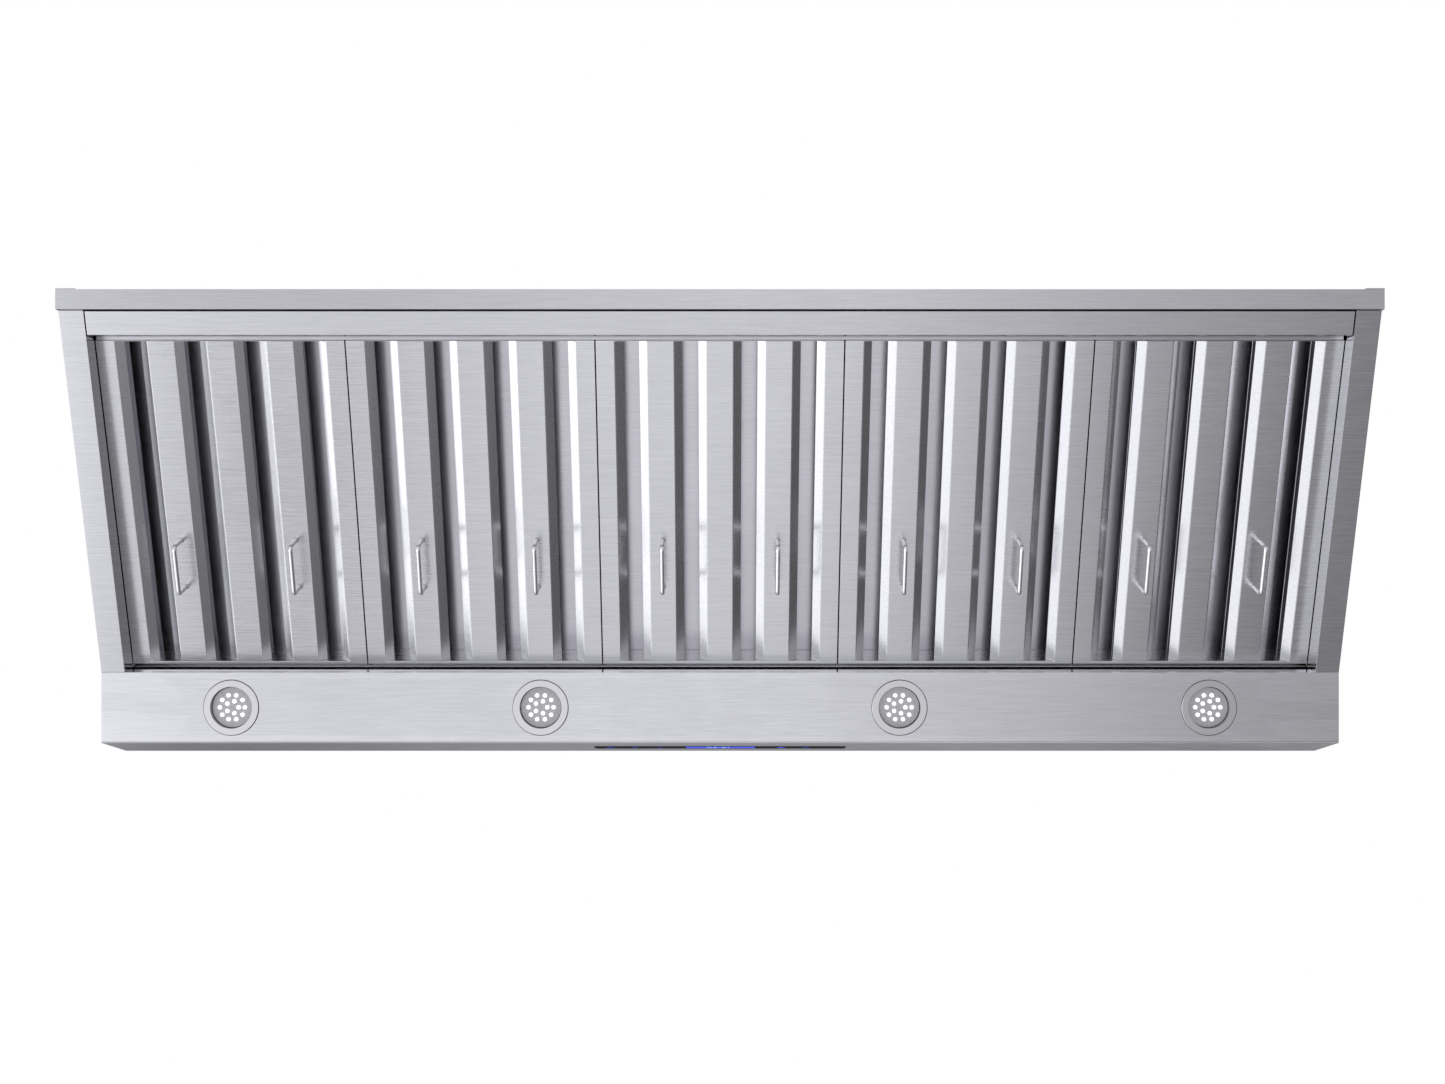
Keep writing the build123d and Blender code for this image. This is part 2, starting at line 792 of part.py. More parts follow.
def make_damper_flap(side):
    """Half disc on three of the pin's six knuckle places; the other flap has the rest."""
    flap_start = damper_knuckle + damper_gap / 2
    middles = [(place - 2.5) * knuckle_length for place in range(6)]
    own = middles[0::2] if side > 0 else middles[1::2]
    with BuildPart() as flap:
        with BuildSketch(Plane.XY.offset(damper_plane.origin.Z - damper_plate / 2)):
            Circle(collar_inner - damper_gap)
            with Locations((-side * (depth / 2 - flap_start), 0)):
                Rectangle(depth, depth, mode=Mode.SUBTRACT)
            with Locations(*[(side * (flap_start + damper_fit) / 2, y) for y in own]):
                Rectangle(flap_start + damper_fit, knuckle_length - damper_gap)
        extrude(amount=damper_plate)
        for y in own:
            with BuildSketch(damper_plane.offset(-y)):
                Circle(damper_knuckle)
            extrude(amount=(knuckle_length - damper_gap) / 2, both=True)
        with BuildSketch(damper_plane):
            Circle(damper_pin_radius + damper_fit)
        extrude(amount=collar_radius, both=True, mode=Mode.SUBTRACT)
    return flap.part


for side, name in ((-1, "left_damper_flap"), (1, "right_damper_flap")):
    damper_flap = make_damper_flap(side)
    damper_flap.label = name
    export_step(damper_flap, f"parts/{name}.step")


# Ceiling bracket, four angle posts down to the canopy, and the bolts through their feet
with BuildPart() as ceiling_bracket:
    with BuildSketch():
        Rectangle(bracket_length, bracket_depth)
        Circle(duct_hole, mode=Mode.SUBTRACT)
        with GridLocations(bolt_length, bolt_depth, 2, 2):
            Circle(bolt_hole, mode=Mode.SUBTRACT)
        with Locations((0, box_y)):
            Circle(cable_hole, mode=Mode.SUBTRACT)
    extrude(amount=-bracket_plate)
ceiling_bracket.part.label = "ceiling_bracket"
export_step(ceiling_bracket.part, "parts/ceiling_bracket.step")

with BuildPart() as support_posts:
    for x_side, y_side in ((-1, -1), (-1, 1), (1, -1), (1, 1)):
        corner_x = x_side * post_x
        corner_y = y_side * post_y
        x_align = Align.MAX if x_side > 0 else Align.MIN
        y_align = Align.MAX if y_side > 0 else Align.MIN
        with BuildSketch(Plane.XY.offset(canopy_top_z)):
            with Locations((corner_x, corner_y)):
                Rectangle(post_size, post_size, align=(x_align, y_align))
            with Locations((corner_x - x_side * post_wall, corner_y - y_side * post_wall)):
                Rectangle(post_size, post_size, align=(x_align, y_align), mode=Mode.SUBTRACT)
        extrude(amount=-bracket_plate - canopy_top_z)
        with BuildSketch(Plane.XY.offset(canopy_top_z)):
            with Locations((corner_x, corner_y)):
                Rectangle(post_size, post_size, align=(x_align, y_align))
            with Locations((x_side * foot_x, y_side * foot_y)):
                Circle(foot_bolt + foot_bolt_fit, mode=Mode.SUBTRACT)
        extrude(amount=foot_plate)
support_posts.part.label = "support_posts"
export_step(support_posts.part, "parts/support_posts.step")

with BuildPart() as frame_bolts:
    with BuildSketch(Plane.XY.offset(canopy_top_z + foot_plate)):
        with GridLocations(2 * foot_x, 2 * foot_y, 2, 2):
            RegularPolygon(bolt_head_radius, 6)
    extrude(amount=bolt_head_height)
    with BuildSketch(Plane.XY.offset(canopy_top_z + foot_plate)):
        with GridLocations(2 * foot_x, 2 * foot_y, 2, 2):
            Circle(foot_bolt)
    extrude(amount=-foot_plate - bolt_tail)
frame_bolts.part.label = "frame_bolts"
export_step(frame_bolts.part, "parts/frame_bolts.step")


# Chimney: a lower cover that stands on the canopy, and an upper one that slides inside it
def make_cover(length, breadth, bottom, top):
    with BuildPart() as cover:
        with BuildSketch(Plane.XY.offset(bottom)):
            Rectangle(length, breadth)
            Rectangle(length - 2 * chimney_wall, breadth - 2 * chimney_wall, mode=Mode.SUBTRACT)
        extrude(amount=top - bottom)
    return cover.part


lower_chimney_top = canopy_top_z + lower_chimney_height
lower_chimney = make_cover(chimney_length, chimney_depth, canopy_top_z, lower_chimney_top)
lower_chimney.label = "lower_chimney"
export_step(lower_chimney, "parts/lower_chimney.step")

upper_shrink = 2 * (chimney_wall + chimney_gap)
upper_chimney = make_cover(
    chimney_length - upper_shrink,
    chimney_depth - upper_shrink,
    lower_chimney_top - chimney_overlap,
    -ceiling_gap,
)
upper_chimney.label = "upper_chimney"
export_step(upper_chimney, "parts/upper_chimney.step")


# Wiring: junction box behind the plenum with its cable gland, and the lamps' driver
with BuildPart() as junction_box:
    with BuildSketch(Plane.XY.offset(canopy_top_z)):
        with Locations((0, box_y)):
            Rectangle(box_length, box_depth)
    extrude(amount=box_height)
    with BuildSketch(Plane.XY.offset(canopy_top_z + box_wall)):
        with Locations((0, box_y)):
            Rectangle(box_length - 2 * box_wall, box_depth - 2 * box_wall)
    extrude(amount=box_height - 2 * box_wall, mode=Mode.SUBTRACT)
    with BuildSketch(Plane.XY.offset(canopy_top_z + box_height)):
        with Locations((0, box_y)):
            Circle(gland_bore)
    extrude(amount=-box_wall, mode=Mode.SUBTRACT)
junction_box.part.label = "junction_box"
export_step(junction_box.part, "parts/junction_box.step")

with BuildPart() as cable_gland:
    with BuildSketch(Plane.XY.offset(canopy_top_z + box_height)):
        with Locations((0, box_y)):
            RegularPolygon(gland_nut_radius, 6)
            Circle(gland_bore, mode=Mode.SUBTRACT)
    extrude(amount=gland_nut_height)
    with BuildSketch(Plane.XY.offset(canopy_top_z + box_height + gland_nut_height)):
        with Locations((0, box_y)):
            Circle(gland_radius)
            Circle(gland_bore, mode=Mode.SUBTRACT)
    extrude(amount=gland_height)
cable_gland.part.label = "cable_gland"
export_step(cable_gland.part, "parts/cable_gland.step")

with BuildPart() as led_driver:
    with BuildSketch(Plane.XY.offset(canopy_top_z - sheet)):
        with Locations((driver_x, outlet_y)):
            RectangleRounded(driver_length, driver_depth, driver_corner)
    extrude(amount=-driver_height)
led_driver.part.label = "led_driver"
export_step(led_driver.part, "parts/led_driver.step")
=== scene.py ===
import math

import bpy
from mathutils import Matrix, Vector


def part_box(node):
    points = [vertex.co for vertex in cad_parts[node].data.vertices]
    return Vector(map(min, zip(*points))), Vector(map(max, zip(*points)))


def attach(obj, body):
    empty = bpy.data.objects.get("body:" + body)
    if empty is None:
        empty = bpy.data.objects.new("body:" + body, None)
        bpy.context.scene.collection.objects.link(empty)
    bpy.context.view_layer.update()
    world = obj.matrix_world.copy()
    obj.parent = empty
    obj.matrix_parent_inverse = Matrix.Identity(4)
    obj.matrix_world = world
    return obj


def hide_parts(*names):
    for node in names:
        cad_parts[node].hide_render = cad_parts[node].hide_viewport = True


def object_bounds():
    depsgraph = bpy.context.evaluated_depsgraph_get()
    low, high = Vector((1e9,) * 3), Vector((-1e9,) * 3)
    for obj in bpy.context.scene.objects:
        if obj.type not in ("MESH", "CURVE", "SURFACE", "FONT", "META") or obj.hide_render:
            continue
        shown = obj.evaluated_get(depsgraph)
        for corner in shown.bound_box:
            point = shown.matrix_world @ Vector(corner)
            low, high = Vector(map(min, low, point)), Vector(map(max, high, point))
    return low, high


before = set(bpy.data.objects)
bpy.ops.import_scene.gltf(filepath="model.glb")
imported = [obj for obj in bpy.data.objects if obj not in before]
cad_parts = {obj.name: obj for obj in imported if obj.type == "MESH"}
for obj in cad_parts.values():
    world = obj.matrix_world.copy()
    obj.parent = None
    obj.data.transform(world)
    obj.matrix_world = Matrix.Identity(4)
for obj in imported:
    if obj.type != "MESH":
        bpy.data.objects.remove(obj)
cad_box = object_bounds()
hood_low = cad_box[0]


# Camera: it lies on its back under the hood and looks straight up at the filters,
# with the rear bar at the top of the view.
eye_drop = 1.840
eye_x = -0.003
eye_y = -0.0115
camera_data = bpy.data.cameras.new("eye")
camera_data.lens = 40
camera_data.sensor_width = 36
camera = bpy.data.objects.new("eye", camera_data)
camera.location = (eye_x, eye_y, hood_low.z - eye_drop)
camera.rotation_euler = (0, math.pi, 0)
bpy.context.scene.collection.objects.link(camera)
bpy.context.scene.camera = camera


# Shader arithmetic for the studio and every finish below: sums on sockets are
# written as Python expressions, and every other node comes from one method.
class Signal:
    """A node's output that can be added, multiplied or compared like a number."""

    def __init__(self, tree, socket):
        self.tree = tree
        self.socket = socket

    def port(self, name):
        return Signal(self.tree, self.socket.node.outputs[name])

    def math(self, operation, *terms):
        node = self.tree.nodes.new("ShaderNodeMath")
        node.operation = operation
        for term, socket in zip(terms, node.inputs):
            if isinstance(term, Signal):
                self.tree.links.new(term.socket, socket)
            else:
                socket.default_value = term
        return Signal(self.tree, node.outputs[0])

    def __add__(self, other):
        return self.math("ADD", self, other)

    __radd__ = __add__

    def __sub__(self, other):
        return self.math("SUBTRACT", self, other)

    def __rsub__(self, other):
        return self.math("SUBTRACT", other, self)

    def __mul__(self, other):
        return self.math("MULTIPLY", self, other)

    __rmul__ = __mul__

    def __lt__(self, other):
        return self.math("LESS_THAN", self, other)

    def __abs__(self):
        return self.math("ABSOLUTE", self)

    def at_least(self, least):
        return self.math("MAXIMUM", self, least)


class Wiring:
    """A node tree with one method for making any node and joining it up."""

    def __init__(self, tree):
        self.tree = tree

    def make(self, kind, settings=(), inputs=(), output=0):
        node = self.tree.nodes.new(kind)
        for name, value in dict(settings).items():
            if name == "stops":
                ramp = node.color_ramp.elements
                while len(ramp) < len(value):
                    ramp.new(0.5)
                for stop, (place, shade) in zip(ramp, value):
                    stop.position = place
                    stop.color = (shade, shade, shade, 1)
            else:
                setattr(node, name, value)
        for name, value in dict(inputs).items():
            self.feed(node.inputs[name], value)
        return Signal(self.tree, node.outputs[output])

    def feed(self, socket, value):
        if isinstance(value, Signal):
            self.tree.links.new(value.socket, socket)
        else:
            socket.default_value = value

    def tint(self, factor, low, high):
        """A colour between two, by a factor from 0 to 1."""
        inputs = {0: factor, 6: low, 7: high}
        return self.make("ShaderNodeMix", {"data_type": "RGBA"}, inputs, output=2)

    def bump(self, height, strength, distance):
        """A fine relief in metres, worked into the surface's direction."""
        inputs = {"Strength": strength, "Distance": distance, "Height": height}
        return self.make("ShaderNodeBump", inputs=inputs)


# Studio: a pale floor far below, and soft light from all round that is bright on
# the hood's right-hand side and falls off to its left, as from one wall of soft boxes.
floor_drop = 3.3
floor_size = 40
bpy.ops.object.select_all(action="DESELECT")
bpy.ops.mesh.primitive_plane_add(size=floor_size, location=(0, 0, hood_low.z - floor_drop))
floor = bpy.context.active_object
floor.name = "studio_floor"
floor.visible_glossy = False
floor_paint = bpy.data.materials.new("floor_paint")
floor_paint.use_nodes = True
floor_shader = floor_paint.node_tree.nodes["Principled BSDF"]
floor_shader.inputs["Base Color"].default_value = (0.90, 0.90, 0.91, 1)
floor_shader.inputs["Roughness"].default_value = 0.9
floor_shader.inputs["Emission Color"].default_value = (1, 1, 1, 1)
floor_shader.inputs["Emission Strength"].default_value = 0.28
floor.data.materials.append(floor_paint)

studio = bpy.data.worlds.new("studio")
studio.use_nodes = True
bpy.context.scene.world = studio
bpy.context.scene.view_settings.view_transform = "Standard"
air = Wiring(studio.node_tree)
heading = air.make("ShaderNodeTexCoord", output="Generated")
across = air.make("ShaderNodeSeparateXYZ", inputs={0: heading})
toward_rear = across.port("Y")
upward = across.port("Z")
wall_stops = [
    (0.00, 0.18),
    (0.22, 0.20),
    (0.31, 0.23),
    (0.36, 0.29),
    (0.42, 0.52),
    (0.50, 0.64),
    (0.56, 0.58),
    (0.60, 0.44),
    (0.64, 0.25),
    (0.67, 0.22),
    (0.695, 0.84),
    (0.80, 0.66),
    (0.92, 0.62),
    (1.00, 1.20),
]
wall_brightness = 1.72
corner_turn = 0.85
darkest = 0.12
low_glow = 0.55
front_glow = 0.75
ceiling_share = 0.25
end_share = 0.62
light_tint = (0.985, 0.985, 1.03)
wall = air.make("ShaderNodeValToRGB", {"stops": wall_stops}, {0: across * 0.5 + 0.5})
wall_level = air.make("ShaderNodeRGBToBW", inputs={0: wall}) * wall_brightness
corner_level = wall_level - across * toward_rear * corner_turn


def fade(value, start, end, first, last):
    """A level that changes from first to last as a value goes from start to end."""
    inputs = {"Value": value, "From Min": start, "From Max": end, "To Min": first, "To Max": last}
    return Wiring(value.tree).make("ShaderNodeMapRange", inputs=inputs)


low_level = fade(across, -0.5, -0.85, 0.0, low_glow) * fade(upward, -0.4, -0.65, 0.0, 1.0)
lit_level = corner_level.at_least(darkest) + low_level
front_level = fade(across, -0.25, 0.35, 0.0, front_glow) * fade(toward_rear, 0.0, -0.12, 0.0, 1.0)
front_level = front_level * fade(toward_rear, -0.32, -0.20, 0.0, 1.0)
ceiling_dimming = fade(upward, 0.5, 0.88, 1.0, ceiling_share)
end_dimming = fade(abs(toward_rear), 0.5, 0.9, 1.0, end_share)
light_level = (lit_level + front_level) * ceiling_dimming * end_dimming
light_channels = {number: light_level * share for number, share in enumerate(light_tint)}
light_colour = air.make("ShaderNodeCombineColor", inputs=light_channels)
seen_direct = air.make("ShaderNodeLightPath", output="Is Camera Ray")
backdrop = air.tint(seen_direct, light_colour, (1, 1, 1, 1))
air.feed(studio.node_tree.nodes["Background"].inputs["Color"], backdrop)

box_size = 2.4
box_power = 24
box_tip = math.radians(72)
box_swing = math.radians(24)
for box_name, box_place, box_turn in (
    ("overhead_box", (0.6, 0.4, 2.2), (0, 0, 0)),
    ("front_box", (-1.6, -3.4, 0.6), (box_tip, 0, -box_swing)),
    ("rear_box", (-1.6, 3.4, 0.6), (-box_tip, 0, box_swing)),
):
    box_data = bpy.data.lights.new(box_name, "AREA")
    box_data.size = box_size
    box_data.energy = box_power
    soft_box = bpy.data.objects.new(box_name, box_data)
    soft_box.location = box_place
    soft_box.rotation_euler = box_turn
    soft_box.visible_camera = False
    bpy.context.scene.collection.objects.link(soft_box)


# Canopy sheets: folded from 1.2 mm stainless steel with a belt-brushed finish whose
# grain runs the length of each sheet. Folds, handling and cleaning leave faint clouds.
def start_finish(name):
    """A new material, its wiring, and the place on the piece that its patterns read."""
    material = bpy.data.materials.new(name)
    material.use_nodes = True
    wiring = Wiring(material.node_tree)
    return material, wiring, wiring.make("ShaderNodeTexCoord", output="Object")


def finish_surface(wiring, **sockets):
    """Feeds the shader: a name's underscores stand for the spaces in the socket's name."""
    shader = wiring.tree.nodes["Principled BSDF"]
    for name, value in sockets.items():
        wiring.feed(shader.inputs[name.replace("_", " ")], value)


def grain(wiring, place, run, pitch, detail=3.0):
    """Scratches left by a brush: long along one axis, closely spaced across it."""
    scale = [1 / pitch if step is None else 1 / step for step in run]
    stretched = wiring.make("ShaderNodeMapping", inputs={"Vector": place, "Scale": scale})
    inputs = {"Vector": stretched, "Scale": 1.0, "Detail": detail, "Roughness": 0.65}
    return wiring.make("ShaderNodeTexNoise", inputs=inputs)


def clouds(wiring, place, size, detail=3.0):
    """Soft uneven patches, as handling and cleaning leave."""
    inputs = {"Vector": place, "Scale": 1 / size, "Detail": detail, "Roughness": 0.5}
    return wiring.make("ShaderNodeTexNoise", inputs=inputs)


opening_half = 0.733
wall_reach = 0.001
wall_roughness = 0.09
hair_pitch = 0.0005
streak_pitch = 0.0016
steel_dark = (0.60, 0.60, 0.62, 1)
steel_light = (0.70, 0.70, 0.72, 1)


def brushed_steel(name, run, polished="", gloss=0.0):
    """Brushed stainless steel. run gives the scratch length per axis, None across the grain.
    Walls inside the opening that face along the polished axis have a mirror finish."""
    material, wiring, place = start_finish(name)
    hair = grain(wiring, place, run, hair_pitch)
    streak = grain(wiring, place, [step and step * 1.6 for step in run], streak_pitch, 2.0)
    cloud = clouds(wiring, place, 0.22)
    smudge = clouds(wiring, place, 0.045, 4.0)
    shade = fade(streak * 0.6 + hair * 0.4, 0.34, 0.66, 0.0, 1.0)
    rough = fade(hair, 0.3, 0.7, 0.25 - gloss, 0.37 - gloss)
    rough = rough + (cloud - 0.5) * 0.10 + (smudge - 0.5) * 0.05
    relief = hair + streak * 0.25
    if polished:
        normal = wiring.make("ShaderNodeNewGeometry", output="Normal")
        facing = wiring.make("ShaderNodeSeparateXYZ", inputs={0: normal}).port(polished)
        inward = wiring.make("ShaderNodeSeparateXYZ", inputs={0: place}).port("X")
        upright = fade(abs(facing), 0.80, 0.95, 0.0, 1.0) * (abs(inward) < opening_half + wall_reach)
        rough = rough * (1 - upright) + wall_roughness * upright
        relief = relief * (1 - upright)
    finish_surface(
        wiring,
        Base_Color=wiring.tint(shade, steel_dark, steel_light),
        Metallic=1.0,
        Roughness=rough,
        Normal=wiring.bump(relief, 0.13, 0.00004),
    )
    return material


def coat(material, *names):
    """Gives CAD nodes their finish."""
    for name in names:
        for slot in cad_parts[name].material_slots:
            slot.material = material


merge_distance = 0.000002
broad_share = 1.25
bend_angle = math.radians(18)
smooth_angle = math.radians(35)


def fold(node, body, material, sheet=0.0012, bend=0.0009, edge=0.00022):
    """A sheet as the press leaves it: a copy of the CAD sheet with round bends and eased edges."""
    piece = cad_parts[node].copy()
    piece.data = piece.data.copy()
    piece.name = node + "_sheet"
    piece.parent = None
    bpy.context.scene.collection.objects.link(piece)
    bpy.ops.object.select_all(action="DESELECT")
    piece.select_set(True)
    bpy.context.view_layer.objects.active = piece
    bpy.ops.object.mode_set(mode="EDIT")
    bpy.ops.mesh.select_all(action="SELECT")
    bpy.ops.mesh.remove_doubles(threshold=merge_distance)
    bpy.ops.object.mode_set(mode="OBJECT")
    mesh = piece.data
    sides = {}
    for face in mesh.polygons:
        longest = max((mesh.vertices[a].co - mesh.vertices[b].co).length for a, b in face.edge_keys)
        broad = 2 * face.area / longest > broad_share * sheet
        for key in face.edge_keys:
            sides.setdefault(key, []).append((face.normal.copy(), broad))
    weights = mesh.attributes.new("bevel_weight_edge", "FLOAT", "EDGE")
    for line in mesh.edges:
        faces = sides.get(line.key, [])
        if len(faces) == 2 and faces[0][0].angle(faces[1][0], 0) > bend_angle:
            weights.data[line.index].value = 1.0 if faces[0][1] and faces[1][1] else edge / bend
    rounding = piece.modifiers.new("rounding", "BEVEL")
    rounding.limit_method = "WEIGHT"
    rounding.width = bend
    rounding.segments = 3
    rounding.use_clamp_overlap = True
    bpy.ops.object.modifier_apply(modifier=rounding.name)
    bpy.ops.object.shade_smooth_by_angle(angle=smooth_angle)
    shading = piece.modifiers.new("shading", "WEIGHTED_NORMAL")
    shading.keep_sharp = True
    shading.weight = 100
    bpy.ops.object.modifier_apply(modifier=shading.name)
    mesh.materials.clear()
    mesh.materials.append(material)
    for key in [name for name in piece.keys() if name.startswith("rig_")]:
        del piece[key]
    piece.hide_render = False
    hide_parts(node)
    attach(piece, body)
    return piece


lengthwise = (0.035, None, None)
sheet_steel = brushed_steel("sheet_steel", lengthwise)
strip_steel = brushed_steel("strip_steel", lengthwise, polished="Y")
coat(sheet_steel, "top_panel", "filter_rear_rail")
for name in ("rear_panel", "front_fascia", "front_roof"):
    fold(name, "canopy", sheet_steel)
fold("light_panel", "canopy", strip_steel)
fold("grease_tray", "tray", strip_steel, sheet=0.001)


# Side panels: one sheet each side, with the grain running up the skin and across the
# sloping rim that is folded in along the bottom.
side_steel = brushed_steel("side_steel", (0.035, None, 0.035), polished="X", gloss=0.08)
for name in ("left_side_panel", "right_side_panel"):
    fold(name, "canopy", side_steel)


# Filters: a welded frame with two layers of channels folded from 0.9 mm stainless
# steel. The lower ones are brushed like the canopy, the upper ones have a mill finish.
baffle_steel = brushed_steel("baffle_steel", lengthwise, gloss=0.06)
mill_steel, mill_wiring, mill_place = start_finish("hood_steel")
mill_cloud = clouds(mill_wiring, mill_place, 0.12)
mill_hair = fade(grain(mill_wiring, mill_place, lengthwise, 0.0009, 2.0), 0.3, 0.7, 0.0, 1.0)
finish_surface(
    mill_wiring,
    Base_Color=mill_wiring.tint(mill_hair, (0.56, 0.555, 0.59, 1), (0.62, 0.615, 0.65, 1)),
    Metallic=1.0,
    Roughness=0.24 + (mill_cloud - 0.5) * 0.12,
)
baffle_sheet = 0.0009
filter_numbers = range(1, 6)
for number in filter_numbers:
    holder = f"filter_{number}"
    fold(f"{holder}_frame", holder, baffle_steel, baffle_sheet)
    fold(f"{holder}_lower_baffles", holder, baffle_steel, baffle_sheet)
    fold(f"{holder}_upper_baffles", holder, mill_steel, baffle_sheet)


# Front ledge: a narrow sheet strip that climbs from the top of the light strip's wall.
# It closes most of the gap that the filters need to swing past that wall.
ledge_half = 0.7325
ledge_front = -0.1675
ledge_rear = -0.1629
ledge_low = hood_low.z + 0.1662
ledge_thickness = 0.0008
ledge_climb = 0.0035
ledge_edge = 0.0002
ledge_middle = (ledge_front + ledge_rear) / 2
bpy.ops.object.select_all(action="DESELECT")
bpy.ops.mesh.primitive_cube_add(size=1, location=(0, ledge_middle, ledge_low + ledge_thickness / 2))
front_ledge = bpy.context.active_object
front_ledge.name = "front_ledge"
front_ledge.scale = (2 * ledge_half, ledge_rear - ledge_front, ledge_thickness)
bpy.ops.object.transform_apply(location=True, rotation=True, scale=True)
for corner in front_ledge.data.vertices:
    corner.select = corner.co.y > ledge_middle
for side in list(front_ledge.data.polygons) + list(front_ledge.data.edges):
    side.select = all(front_ledge.data.vertices[corner].select for corner in side.vertices)
bpy.ops.object.mode_set(mode="EDIT")
bpy.ops.transform.translate(value=(0, 0, ledge_climb))
bpy.ops.mesh.select_all(action="SELECT")
bpy.ops.mesh.bevel(offset=ledge_edge, segments=2)
bpy.ops.object.mode_set(mode="OBJECT")
bpy.ops.object.shade_smooth_by_angle(angle=smooth_angle)
front_ledge.data.materials.append(sheet_steel)
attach(front_ledge, "canopy")


# Filter handles: bent from 5 mm stainless wire, polished, and welded to the channels
# with a small bead round each foot.
wire_steel, wire_wiring, wire_place = start_finish("wire_steel")
wire_cloud = clouds(wire_wiring, wire_place, 0.006, 4.0)
finish_surface(
    wire_wiring,
    Base_Color=wire_wiring.tint(wire_cloud, (0.78, 0.78, 0.80, 1), (0.90, 0.90, 0.91, 1)),
    Metallic=1.0,
    Roughness=0.05 + wire_cloud * 0.12,
)
bead_steel, bead_wiring, bead_place = start_finish("bead_steel")
bead_heat = clouds(bead_wiring, bead_place, 0.0015, 4.0)
finish_surface(
    bead_wiring,
    Base_Color=bead_wiring.tint(bead_heat, (0.40, 0.38, 0.36, 1), (0.68, 0.67, 0.66, 1)),
    Metallic=1.0,
    Roughness=0.22 + bead_heat * 0.25,
    Normal=bead_wiring.bump(bead_heat, 0.5, 0.0002),
)
filter_slope = math.radians(17.562)
wire_radius = 0.0025
handle_span = 0.060
bead_radius = 0.0007
bead_reach = 0.0003
bead_unevenness = 0.00012
for number in filter_numbers:
    holder = f"filter_{number}"
    coat(wire_steel, f"{holder}_handles")
    low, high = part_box(f"{holder}_handles")
    rear_foot_y = high.y - wire_radius * math.cos(filter_slope)
    front_foot_z = high.z - wire_radius * math.sin(filter_slope)
    bpy.ops.object.select_all(action="DESELECT")
    beads = []
    for foot_x in (low.x + wire_radius, high.x - wire_radius):
        for step in (0, handle_span):
            foot_y = rear_foot_y - step * math.cos(filter_slope)
            foot_z = front_foot_z - (handle_span - step) * math.sin(filter_slope)
            bpy.ops.mesh.primitive_torus_add(
                major_radius=wire_radius + bead_reach,
                minor_radius=bead_radius,
                major_segments=28,
                minor_segments=8,
                location=(foot_x, foot_y, foot_z),
                rotation=(-filter_slope, 0, 0),
            )
            bead = bpy.context.active_object
            bpy.ops.object.mode_set(mode="EDIT")
            bpy.ops.mesh.select_all(action="SELECT")
            bpy.ops.transform.vertex_random(offset=bead_unevenness, seed=number)
            bpy.ops.object.mode_set(mode="OBJECT")
            beads.append(bead)
    for bead in beads:
        bead.select_set(True)
    bpy.ops.object.join()
    welds = bpy.context.active_object
    welds.name = f"{holder}_welds"
    bpy.ops.object.transform_apply(location=True, rotation=True, scale=True)
    bpy.ops.object.shade_smooth()
    welds.data.materials.append(bead_steel)
    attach(welds, holder)


# Lamps: a turned bezel, a cast grey plate with diodes on it, and thin black gaskets that seal
# the bezel to the strip and the plate to the bezel; their near-black also paints the gaps' shade.
lamp_numbers = range(1, 5)
trim_steel, trim_wiring, trim_place = start_finish("trim_steel")
trim_hair = grain(trim_wiring, trim_place, (0.02, None, None), 0.0006)
finish_surface(
    trim_wiring,
    Base_Color=trim_wiring.tint(trim_hair, (0.60, 0.60, 0.61, 1), (0.72, 0.72, 0.73, 1)),
    Metallic=1.0,
    Roughness=0.24 + trim_hair * 0.12,
)
plate_grey, plate_wiring, plate_place = start_finish("plate_grey")
plate_grit = clouds(plate_wiring, plate_place, 0.0012, 2.0)
plate_speckle = fade(plate_grit, 0.3, 0.7, 0.0, 1.0)
plate_cloud = clouds(plate_wiring, plate_place, 0.012)
finish_surface(
    plate_wiring,
    Base_Color=plate_wiring.tint(plate_speckle, (0.36, 0.36, 0.37, 1), (0.58, 0.58, 0.59, 1)),
    Metallic=0.35,
    Roughness=0.42 + (plate_cloud - 0.5) * 0.2,
    Normal=plate_wiring.bump(plate_grit, 0.4, 0.0001),
)
dome_glow, dome_wiring, dome_place = start_finish("dome_glow")
dome_cloud = clouds(dome_wiring, dome_place, 0.004)
finish_surface(
    dome_wiring,
    Base_Color=dome_wiring.tint(dome_cloud, (0.90, 0.91, 0.93, 1), (1, 1, 1, 1)),
    Roughness=0.12 + dome_cloud * 0.1,
    Emission_Color=dome_wiring.tint(dome_cloud, (0.86, 0.92, 1.0, 1), (1, 1, 1, 1)),
    Emission_Strength=1.0,
)
coat(dome_glow, "lamp_leds")
# Near-black rubber with faint dust: its black is partly the rubber's own and partly painted shade in the
# gaps.
gap_shade_rubber, rubber_wiring, rubber_place = start_finish("gap_shade_rubber")
rubber_dust = clouds(rubber_wiring, rubber_place, 0.003, 4.0)
finish_surface(
    rubber_wiring,
    Base_Color=rubber_wiring.tint(rubber_dust, (0.010, 0.010, 0.011, 1), (0.035, 0.035, 0.036, 1)),
    Roughness=0.6 + rubber_dust * 0.25,
)
strip_low = hood_low.z + 0.137
seal_rise = 0.0053
gasket_half = 0.00045
gasket_squeeze = 0.7
# The rings lie in the gaps round the bezel and round the plate, where their black paints the shade.
gap_shade_gaskets = [("gasket", 0.0341, strip_low), ("seal", 0.0252, strip_low + seal_rise)]
